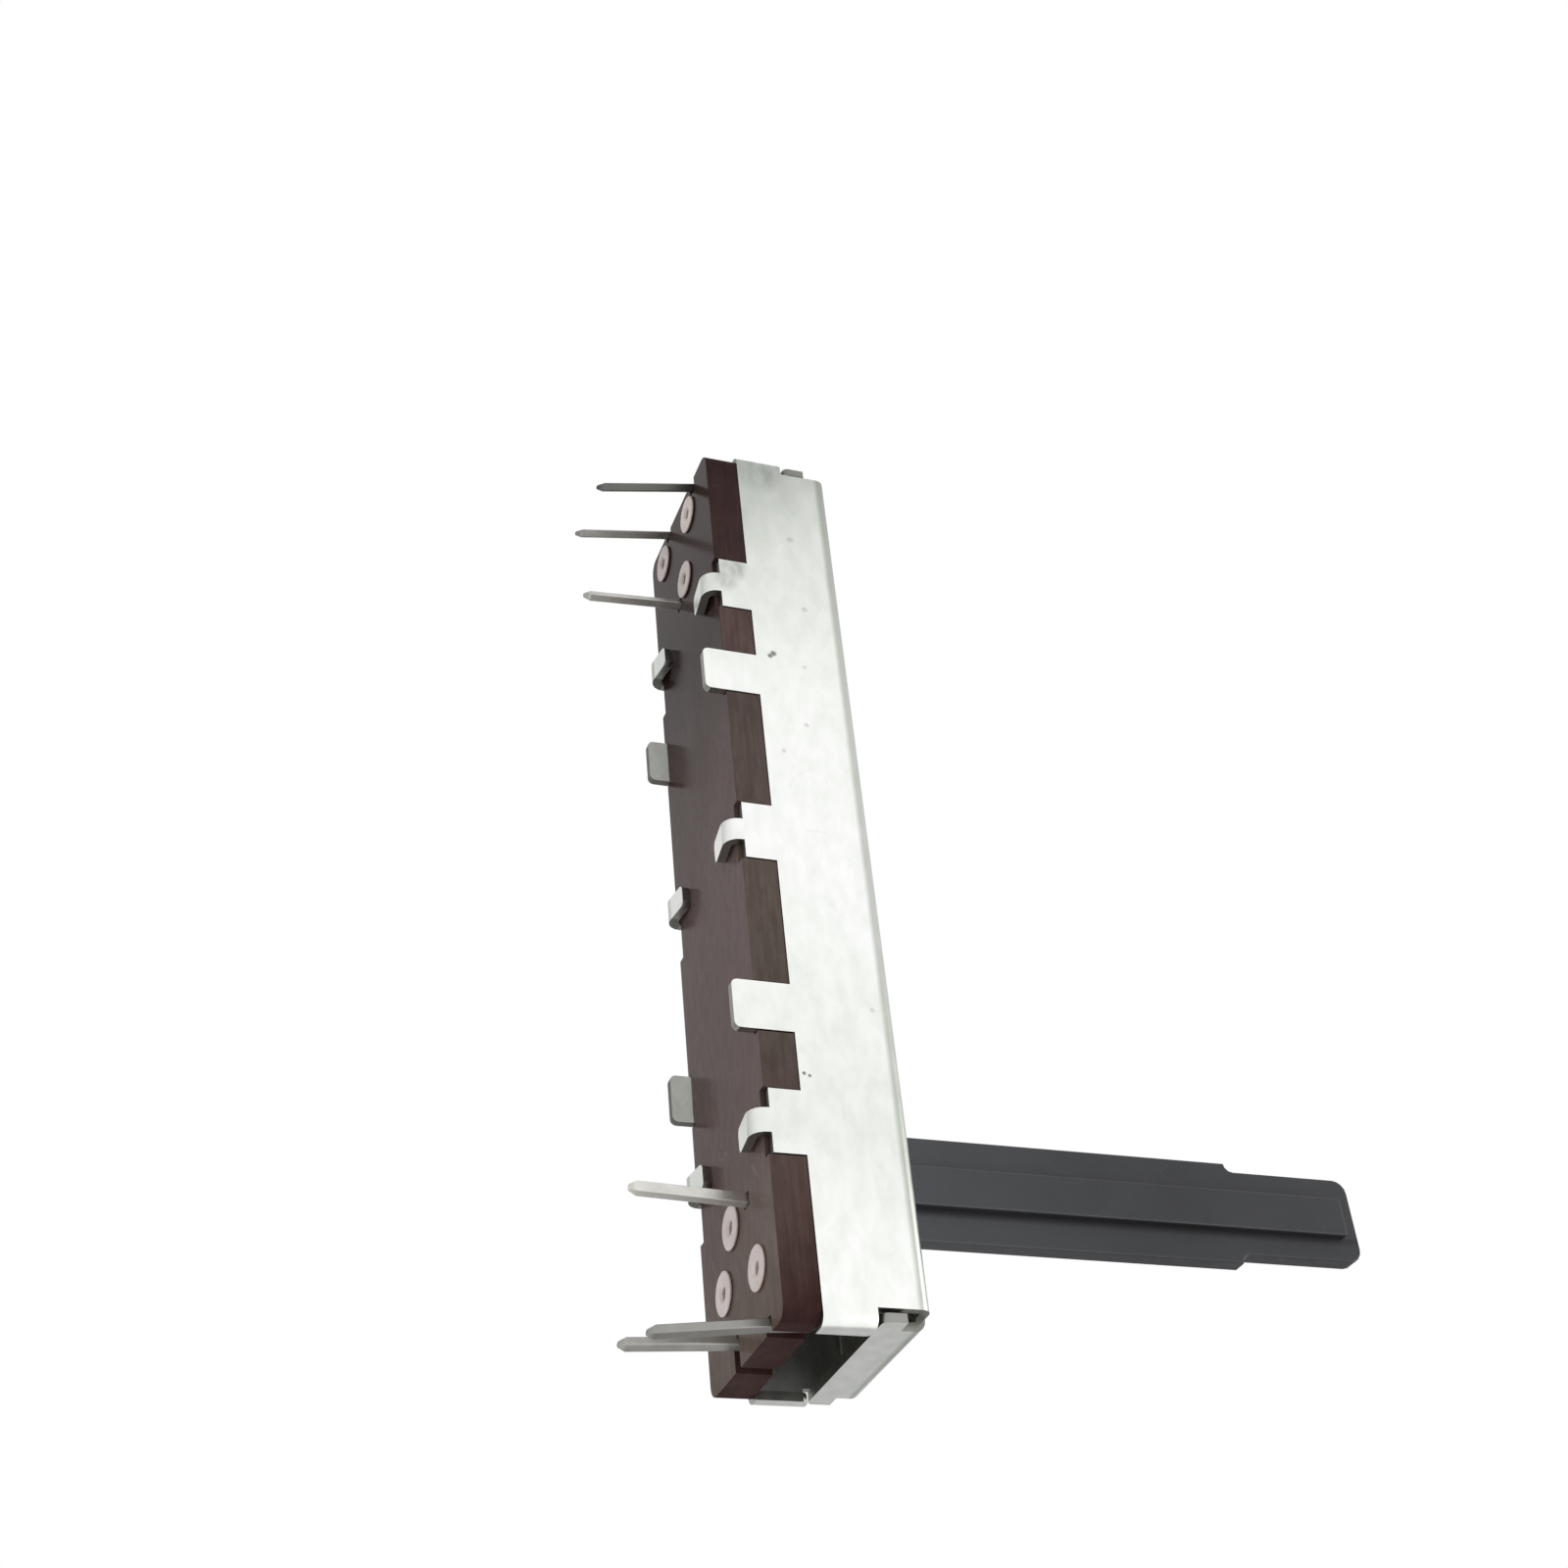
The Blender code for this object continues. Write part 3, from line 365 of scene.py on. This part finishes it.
def tinned_steel():
    material, tree, shader = new_material("tinned_steel")
    cloud = use_group(tree, CLOUDING, (-900, 200), Scale=150.0, Stretch=0.5)
    lines = use_group(tree, DRAWN_LINES, (-900, 0), Scale=5000.0)
    hair = use_group(tree, HAIRLINES, (-900, -200), Scale=260.0, Width=0.008, Share=0.52)
    along = length_share(tree, (-900, 500), cloud.outputs["Cloud"])
    # Tone along the length, darker towards -X: partly painted shade, partly cloudy tin
    tint = ramp(tree, (-400, 500), along, [
        (0.0, colour(188, 191, 186)), (0.05, colour(202, 205, 200)), (0.11, colour(226, 229, 224)),
        (0.23, colour(238, 240, 236)), (0.32, colour(250, 251, 248)), (0.55, colour(253, 253, 252)),
        (0.68, colour(246, 248, 244)), (0.84, colour(239, 241, 237)), (0.96, colour(251, 252, 249))])
    mottle = ramp(tree, (-400, 200), cloud.outputs["Fine"], [(0.3, colour(244, 246, 243)), (0.62, WHITE)])
    tint = mix_colour(tree, (-150, 400), 1.0, tint, mottle, "MULTIPLY")
    height = add(tree, "ShaderNodeSeparateXYZ", (-600, 800), inputs={0: object_place(tree, (-800, 800))})
    band_low, band_high = (level * MM for level in BEND_SHADE_BAND)
    climb = value_map(tree, (-400, 800), height.outputs["Z"], band_low, band_high, 0.0, 1.0)
    # Painted shade: a darker band along the top bend
    bend_shade = ramp(tree, (-250, 800), climb, [
        (0.45, WHITE), (0.6, colour(205, 207, 203)), (0.88, colour(196, 198, 194)), (0.93, WHITE)])
    tint = mix_colour(tree, (-50, 500), 1.0, tint, bend_shade, "MULTIPLY")
    # Painted shade with matt tin: darker, rougher patches near the -X end
    dull_and_shade = maths(tree, (-200, -300), "MULTIPLY", marks(tree, DULL_AND_SHADED_PATCHES, -600),
                 value_map(tree, (-400, -300), cloud.outputs["Fine"], 0.35, 0.6, 0.1, 0.55))
    tint = mix_colour(tree, (0, 350), dull_and_shade, tint, colour(150, 154, 148))
    scratched = maths(tree, (0, 100), "MULTIPLY", hair.outputs["Hairlines"], 0.1)
    tint = mix_colour(tree, (150, 350), scratched, tint, colour(176, 178, 174))
    faint = maths(tree, (100, -100), "MULTIPLY", marks(tree, FAINT_SPECKS, -1500), 0.28)
    tint = mix_colour(tree, (300, 350), faint, tint, colour(120, 120, 114))
    dark = maths(tree, (200, -200), "MULTIPLY", marks(tree, DARK_SPECKS, -2800), 0.75)
    tint = mix_colour(tree, (450, 350), dark, tint, colour(58, 55, 50))
    bare = maths(tree, (400, 100), "MULTIPLY", cut_mask(tree, (200, 100)), 0.8)
    tint = mix_colour(tree, (600, 350), bare, tint, colour(120, 118, 112))
    tree.links.new(tint, shader.inputs["Base Color"])
    shader.inputs["Metallic"].default_value = 1.0
    rough = value_map(tree, (300, -50), cloud.outputs["Fine"], 0.3, 0.7, 0.28, 0.40)
    rough = maths(tree, (500, -50), "ADD", rough, maths(tree, (400, -150), "MULTIPLY", dull_and_shade, 0.35))
    # The tin is matt on the legs and tabs of the far wall
    below = maths(tree, (-300, 1000), "LESS_THAN", height.outputs["Z"], MATT_BELOW * MM)
    far = maths(tree, (-300, 1150), "GREATER_THAN", height.outputs["Y"], MATT_BEYOND * MM)
    far_legs = maths(tree, (-200, 1050), "MULTIPLY", below, far)
    matt = maths(tree, (-100, 1000), "MULTIPLY", far_legs, 0.6)
    rough = maths(tree, (600, -150), "ADD", rough, matt)
    tree.links.new(rough, shader.inputs["Roughness"])
    left = use_group(tree, THREAD, (0, -400), Hole_X=-FIXING_X * MM).outputs["Groove"]
    right = use_group(tree, THREAD, (0, -550), Hole_X=FIXING_X * MM).outputs["Groove"]
    grooves = maths(tree, (200, -450), "MULTIPLY", maths(tree, (150, -450), "ADD", left, right), 12.0)
    cuts = maths(tree, (100, -350), "MULTIPLY", hair.outputs["Hairlines"], 0.35)
    fine = maths(tree, (200, -350), "SUBTRACT", lines.outputs["Lines"], cuts)
    bump(tree, shader, maths(tree, (400, -400), "ADD", fine, grooves), 0.2, 0.005 * MM)
    return material


# Pale scratches on the board's underside, near its +X end
BOARD_SCRATCHES = [(12.75, 0.95, 0, 0.12), (12.95, 1.2, 0, 0.12), (13.25, 1.15, 0, 0.13),
                   (13.4, 0.85, 0, 0.12), (13.3, 0.5, 0, 0.14), (15.3, -2.5, 0, 0.13),
                   (15.5, -2.63, 0, 0.14), (15.7, -2.77, 0, 0.14), (15.9, -2.9, 0, 0.12),
                   (17.35, 3.0, 0, 0.11), (17.1, 3.1, 0, 0.12)]


def phenolic():
    material, tree, shader = new_material("phenolic")
    cloud = use_group(tree, CLOUDING, (-900, 200), Scale=250.0, Stretch=0.4)
    hair = use_group(tree, HAIRLINES, (-900, -100), Scale=330.0, Width=0.006, Share=0.55)
    along = length_share(tree, (-900, 500), cloud.outputs["Cloud"])
    face = ramp(tree, (-400, 500), along, [
        (0.0, colour(66, 45, 42)), (0.22, colour(54, 34, 30)), (0.33, colour(102, 81, 77)),
        (0.5, colour(138, 117, 114)), (0.76, colour(137, 116, 113)), (0.85, colour(134, 114, 108)),
        (0.92, colour(142, 124, 113)), (1.0, colour(112, 92, 80))])
    # The cut edges darken towards both ends; at the +X end, where the board's end lies in shadow, this is
    # painted shade
    edge = ramp(tree, (-400, 200), along, [
        (0.0, colour(58, 40, 41)), (0.13, colour(72, 54, 54)), (0.22, colour(104, 85, 81)),
        (0.33, colour(98, 86, 82)), (0.55, colour(107, 96, 88)), (0.76, colour(98, 88, 82)),
        (0.9, colour(98, 80, 75)), (1.0, colour(66, 44, 42))])
    layers = add(tree, "ShaderNodeTexNoise", (-650, 0), inputs={
        "Vector": add(tree, "ShaderNodeVectorMath", (-850, 0), operation="MULTIPLY", inputs={
            0: object_place(tree, (-1050, 0)), 1: (0.06, 0.06, 1.0)}).outputs[0],
        "Scale": 6000.0, "Detail": 2.0}).outputs["Fac"]
    banded = ramp(tree, (-400, 0), layers, [(0.35, colour(236, 232, 231)), (0.6, WHITE)])
    edge = mix_colour(tree, (-100, 150), 1.0, edge, banded, "MULTIPLY")
    tint = mix_colour(tree, (100, 350), cut_mask(tree, (-100, 0)), face, edge)
    mottle = ramp(tree, (-100, 600), cloud.outputs["Fine"], [(0.3, colour(232, 230, 230)), (0.65, WHITE)])
    tint = mix_colour(tree, (250, 350), 1.0, tint, mottle, "MULTIPLY")
    worn = maths(tree, (250, 100), "MULTIPLY", hair.outputs["Hairlines"], 0.05)
    tint = mix_colour(tree, (400, 350), worn, tint, colour(150, 134, 128))
    scratch = maths(tree, (300, -100), "MULTIPLY", marks(tree, BOARD_SCRATCHES, -600), 0.35)
    tint = mix_colour(tree, (600, 350), scratch, tint, colour(190, 174, 168))
    tree.links.new(tint, shader.inputs["Base Color"])
    rough = value_map(tree, (400, -50), cut_mask(tree, (200, -50)), 0.0, 1.0, 0.2, 0.5)
    tree.links.new(rough, shader.inputs["Roughness"])
    shader.inputs["Specular IOR Level"].default_value = 0.035
    height = maths(tree, (450, -300), "ADD", cloud.outputs["Fine"], maths(
        tree, (300, -300), "MULTIPLY", layers, cut_mask(tree, (100, -300))))
    bump(tree, shader, height, 0.08, 0.01 * MM)
    return material


def carbon_track():
    material, tree, shader = new_material("carbon_track")
    cloud = use_group(tree, CLOUDING, (-500, 200), Scale=900.0, Stretch=1.0)
    worn = use_group(tree, DRAWN_LINES, (-500, 0), Scale=3500.0)
    tint = ramp(tree, (-200, 250), cloud.outputs["Fine"],
                [(0.3, colour(28, 28, 30)), (0.7, colour(44, 44, 46))])
    tree.links.new(tint, shader.inputs["Base Color"])
    tree.links.new(value_map(tree, (0, 0), worn.outputs["Lines"], 0.35, 0.65, 0.34, 0.58),
                   shader.inputs["Roughness"])
    bump(tree, shader, worn.outputs["Lines"], 0.1, 0.004 * MM)
    return material


def metal(name, low, high, low_rough, high_rough, scale=700.0, metallic=1.0, darkening=None):
    material, tree, shader = new_material(name)
    cloud = use_group(tree, CLOUDING, (-500, 200), Scale=scale, Stretch=1.0)
    hair = use_group(tree, HAIRLINES, (-500, -50), Scale=900.0, Width=0.01, Share=0.5)
    tint = ramp(tree, (-200, 250), cloud.outputs["Cloud"], [(0.32, low), (0.68, high)])
    scratched = maths(tree, (-200, 0), "MULTIPLY", hair.outputs["Hairlines"], 0.3)
    tint = mix_colour(tree, (100, 200), scratched, tint, low)
    if darkening:
        # Darker by each piece's share; on the rivets this darkening is painted shade
        share = add(tree, "ShaderNodeAttribute", (100, 400), attribute_name="darkening").outputs["Fac"]
        tint = mix_colour(tree, (300, 300), share, tint, darkening)
    tree.links.new(tint, shader.inputs["Base Color"])
    shader.inputs["Metallic"].default_value = metallic
    rough = value_map(tree, (0, -50), cloud.outputs["Fine"], 0.3, 0.7, low_rough, high_rough)
    tree.links.new(rough, shader.inputs["Roughness"])
    bump(tree, shader, cloud.outputs["Fine"], 0.15, 0.008 * MM)
    return material


def black_plastic():
    material, tree, shader = new_material("black_plastic")
    cloud = use_group(tree, CLOUDING, (-500, 200), Scale=220.0, Stretch=1.0)
    grain = use_group(tree, CLOUDING, (-500, 0), Scale=2200.0, Stretch=1.0)
    hair = use_group(tree, HAIRLINES, (-500, -200), Scale=240.0, Width=0.006, Share=0.52)
    tint = ramp(tree, (-200, 250), cloud.outputs["Cloud"],
                [(0.3, colour(46, 47, 51)), (0.7, colour(56, 57, 61))])
    rubbed = maths(tree, (-200, 0), "MULTIPLY", hair.outputs["Hairlines"], 0.12)
    tint = mix_colour(tree, (50, 200), rubbed, tint, colour(92, 92, 96))
    across = add(tree, "ShaderNodeSeparateXYZ", (-500, 500), inputs={0: object_place(tree, (-700, 500))})
    root_low, root_high = (level * MM for level in LEVER_ROOT)
    root = value_map(tree, (-300, 700), across.outputs["Z"], root_low, root_high, 0.9, 0.0)
    tint = mix_colour(tree, (150, 300), root, tint, colour(68, 69, 73))
    # Painted shade along the foot of the lever's rib
    shade_start, shade_end = (x * MM for x in RIB_SHADE)
    beside = value_map(tree, (-300, 500), across.outputs["X"], shade_start, shade_end, 0.0, 1.0)
    foot = ramp(tree, (-100, 500), beside, [(0.29, 0.0), (0.32, 1.0), (0.4, 1.0), (0.52, 0.0)])
    painted_rib_shade = maths(tree, (150, 500), "MULTIPLY", foot, 0.75)
    tint = mix_colour(tree, (250, 300), painted_rib_shade, tint, colour(12, 12, 14))
    tree.links.new(tint, shader.inputs["Base Color"])
    rough = value_map(tree, (0, -50), cloud.outputs["Fine"], 0.3, 0.7, 0.40, 0.54)
    tree.links.new(rough, shader.inputs["Roughness"])
    shader.inputs["Specular IOR Level"].default_value = 0.4
    bump(tree, shader, grain.outputs["Cloud"], 0.25, 0.008 * MM)
    return material


FINISHES = {
    "tinned_steel": tinned_steel(),
    "phenolic": phenolic(),
    "carbon_track": carbon_track(),
    "silver_track": metal("silver_track", colour(186, 186, 182), colour(214, 214, 210), 0.4, 0.55),
    "tinned_brass": metal("tinned_brass", colour(212, 210, 204), colour(236, 234, 228), 0.3, 0.42,
                          darkening=colour(78, 78, 75)),
    "rivet_tin": metal("rivet_tin", colour(236, 222, 217), colour(250, 240, 236), 0.35, 0.5, metallic=0.5,
                       darkening=colour(168, 154, 152)),
    "black_plastic": black_plastic(),
    "spring_bronze": metal("spring_bronze", colour(190, 148, 92), colour(214, 176, 116), 0.25, 0.38),
}


# Pieces
def welded_copy(node):
    """Bmesh of a node in millimetres, welded, with its flat faces whole again."""
    bm = bmesh.new()
    bm.from_mesh(frame["nodes"][node].data)
    bmesh.ops.scale(bm, vec=(1 / MM,) * 3, verts=bm.verts[:])
    bmesh.ops.remove_doubles(bm, verts=bm.verts[:], dist=WELD_DISTANCE)
    bm.normal_update()
    bmesh.ops.dissolve_limit(bm, angle_limit=FLAT_ANGLE, verts=bm.verts[:], edges=bm.edges[:])
    bm.normal_update()
    return bm


def round_tips(bm):
    """Round the sheet's corners at the ends of the legs, tongues and flaps."""
    tips = []
    for edge in bm.edges:
        middle = (edge.verts[0].co + edge.verts[1].co) / 2
        at_flap = abs(middle.x) > HALF_LENGTH - END_DEPTH and FLAP_FOOT[0] < middle.z < FLAP_FOOT[1]
        at_tip = middle.z < TIP_LEVEL or at_flap
        through = abs(edge.calc_length() - SHEET_THICKNESS) < SHEET_SLACK
        if at_tip and through and edge.is_convex and edge.calc_face_angle(0) > EASED_ANGLE:
            tips.append(edge)
    bmesh.ops.bevel(bm, geom=tips, offset=TIP_RADIUS, affect="EDGES", segments=4, profile=0.5, material=-1)


def mark_faces(bm, node, slot):
    """Give each face its terminal's or rivet's darkening, or 1 where the sheet or board was cut and 0
    elsewhere.
    """
    if node in DARKENING:
        layer = bm.faces.layers.float.new("darkening")
        for face in bm.faces:
            face[layer] = DARKENING[node]
    layer = bm.faces.layers.float.new("cut")
    if slot == "phenolic":
        for face in bm.faces:
            face[layer] = float(abs(face.normal.z) < 0.5)
    if slot != "tinned_steel":
        return
    solid = BVHTree.FromBMesh(bm)
    largest = {}
    for corners in bm.calc_loop_triangles():
        a, b, c = (corner.vert.co for corner in corners)
        area = (b - a).cross(c - a).length
        if area > largest.get(corners[0].face, (0.0, None))[0]:
            largest[corners[0].face] = (area, (a + b + c) / 3)
    for face, (area, middle) in largest.items():
        inward = -face.normal
        distance = solid.ray_cast(middle + inward * RAY_START, inward)[3]
        face[layer] = float(distance is None or distance > SHEET_THICKNESS + 2 * SHEET_SLACK)


def ease_edges(bm, width):
    edges = [edge for edge in bm.edges if edge.is_manifold and edge.calc_face_angle(0) > EASED_ANGLE]
    bmesh.ops.bevel(bm, geom=edges, offset=width, affect="EDGES", segments=2, profile=0.5, material=-1,
                    clamp_overlap=True)


def weigh_faces(bm):
    """Let the broad flat faces alone set the shading where they meet bends and eased edges."""
    layer = bm.faces.layers.int.new("__mod_weightednormals_faceweight")
    for face in bm.faces:
        breadth = 2 * face.calc_area() / face.calc_perimeter()
        face[layer] = STRONG if breadth > FLAT_BREADTH else -STRONG


def finish_mesh(name, bm, slot, body):
    weigh_faces(bm)
    bmesh.ops.triangulate(bm, faces=[face for face in bm.faces if len(face.verts) > 4])
    bmesh.ops.scale(bm, vec=(MM,) * 3, verts=bm.verts[:])
    mesh = bpy.data.meshes.new(name)
    bm.to_mesh(mesh)
    bm.free()
    mesh.shade_smooth()
    mesh.set_sharp_from_angle(angle=EASED_ANGLE if EDGE_EASE[slot] else SHARP_ANGLE)
    mesh.materials.append(FINISHES[slot])
    piece = bpy.data.objects.new(name, mesh)
    bpy.context.scene.collection.objects.link(piece)
    weights = piece.modifiers.new("even_shading", "WEIGHTED_NORMAL")
    # Face areas in square metres are too small for this modifier, and angles aren't
    weights.mode = "CORNER_ANGLE"
    weights.keep_sharp = True
    weights.use_face_influence = True
    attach(piece, body)
    return piece


def body_of(node):
    bodies = frame["record"]["behaviour"]["bodies"]
    return next(body for body, members in bodies.items() if node in members)


def dress(node, slot):
    """Stand a welded copy with eased edges and its finish in for a node."""
    bm = welded_copy(node)
    if slot == "tinned_steel":
        round_tips(bm)
    mark_faces(bm, node, slot)
    if EDGE_EASE[slot]:
        ease_edges(bm, EDGE_EASE[slot])
    piece = finish_mesh(f"{node}_finished", bm, slot, body_of(node))
    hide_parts(node)


for subpart in frame["record"]["subparts"]:
    dress(subpart["node"], subpart["material_slot"])


# Studio
def camera():
    data = bpy.data.cameras.new("camera")
    data.lens = CAMERA_LENS
    data.sensor_width = SENSOR_WIDTH
    data.clip_start = CLIP_START * MM
    item = bpy.data.objects.new("camera", data)
    place = Vector(CAMERA_PLACE) * MM
    forward = (Vector(CAMERA_TARGET) * MM - place).normalized()
    level = forward.to_track_quat("-Z", "Y").to_matrix()
    roll = Matrix.Rotation(CAMERA_ROLL, 3, forward)
    item.matrix_world = Matrix.Translation(place) @ (roll @ level).to_4x4()
    bpy.context.scene.collection.objects.link(item)
    bpy.context.scene.camera = item


def seen_rays(tree, place, path):
    """1 for the rays that show the background: seen directly, in a gloss or through glass."""
    shown = maths(tree, place, "MAXIMUM", path["Is Camera Ray"], path["Is Glossy Ray"])
    return maths(tree, (place[0] + 150, place[1]), "MAXIMUM", shown, path["Is Transmission Ray"])


def floor():
    """Pale floor under the pins. It is clear from below and to shadow rays, so that it hides nothing."""
    low = CAD_BOUNDS[0].z
    bm = bmesh.new()
    bmesh.ops.create_grid(bm, x_segments=1, y_segments=1, size=FLOOR_SIZE * MM / 2,
                          matrix=Matrix.Translation((0, 0, low)))
    mesh = bpy.data.meshes.new("floor")
    bm.to_mesh(mesh)
    bm.free()
    item = bpy.data.objects.new("floor", mesh)
    bpy.context.scene.collection.objects.link(item)
    material, tree, shader = new_material("floor")
    shader.inputs["Base Color"].default_value = colour(205, 205, 205)
    shader.inputs["Roughness"].default_value = 0.8
    path = add(tree, "ShaderNodeLightPath", (100, 400)).outputs
    shader.inputs["Emission Color"].default_value = WHITE
    tree.links.new(maths(tree, (700, -200), "MULTIPLY", seen_rays(tree, (300, -200), path), FLOOR_GLOW),
                   shader.inputs["Emission Strength"])
    behind = add(tree, "ShaderNodeNewGeometry", (400, 200)).outputs["Backfacing"]
    hidden = add(tree, "ShaderNodeBsdfTransparent", (900, 200))
    mixed = add(tree, "ShaderNodeMixShader", (1100, 200), inputs={
        0: maths(tree, (700, 300), "MAXIMUM", path["Is Shadow Ray"], behind), 1: shader.outputs[0],
        2: hidden.outputs[0]})
    tree.links.new(mixed.outputs[0], tree.nodes["Material Output"].inputs["Surface"])
    mesh.materials.append(material)


def facing(tree, place, direction):
    """How far a ray's direction agrees with a fixed one, from -1 to 1."""
    rays = add(tree, "ShaderNodeTexCoord", (place[0] - 250, place[1])).outputs["Generated"]
    return add(tree, "ShaderNodeVectorMath", place, operation="DOT_PRODUCT", inputs={
        0: rays, 1: Vector(direction).normalized()}).outputs["Value"]


def world():
    """White room with one dark side, and a soft box of light on the near side of the part.

    The white room is the background, and metal and glossy surfaces show it too.
    """
    scene_world = bpy.data.worlds.new("studio")
    bpy.context.scene.world = scene_world
    scene_world.use_nodes = True
    tree = scene_world.node_tree
    background = tree.nodes["Background"]
    background.location = (500, 100)
    tree.nodes["World Output"].location = (1000, 0)
    soft = value_map(tree, (-250, 0), facing(tree, (-450, 0), LIGHT_SIDE), -1.0, 1.0, 0.0, 1.0)
    light = ramp(tree, (0, 0), soft, [(0.0, 0.15), (0.5, 0.5), (0.85, 0.68), (0.96, 1.02)])
    tree.links.new(light, background.inputs["Color"])
    background.inputs["Strength"].default_value = 1.0
    dark = ramp(tree, (0, -300), facing(tree, (-450, -300), DARK_SIDE), [(0.74, 1.0), (0.93, 0.45)])
    seen = add(tree, "ShaderNodeBackground", (500, -100), inputs={"Color": dark, "Strength": 1.0})
    path = add(tree, "ShaderNodeLightPath", (200, 500)).outputs
    mixed = add(tree, "ShaderNodeMixShader", (750, 0), inputs={
        0: seen_rays(tree, (400, 400), path), 1: background.outputs[0], 2: seen.outputs[0]})
    tree.links.new(mixed.outputs[0], tree.nodes["World Output"].inputs["Surface"])


def soft_lamp(name, place, size, power):
    """Square lamp that faces the part, placed in millimetres."""
    data = bpy.data.lights.new(name, "AREA")
    data.size = size * MM
    data.energy = power
    item = bpy.data.objects.new(name, data)
    item.location = Vector(place) * MM
    item.rotation_euler = (-Vector(place)).to_track_quat("-Z", "Y").to_euler()
    bpy.context.scene.collection.objects.link(item)


camera()
floor()
world()
soft_lamp("above", LAMP_PLACE, LAMP_SIZE, LAMP_POWER)
bpy.context.scene.view_settings.view_transform = "Standard"
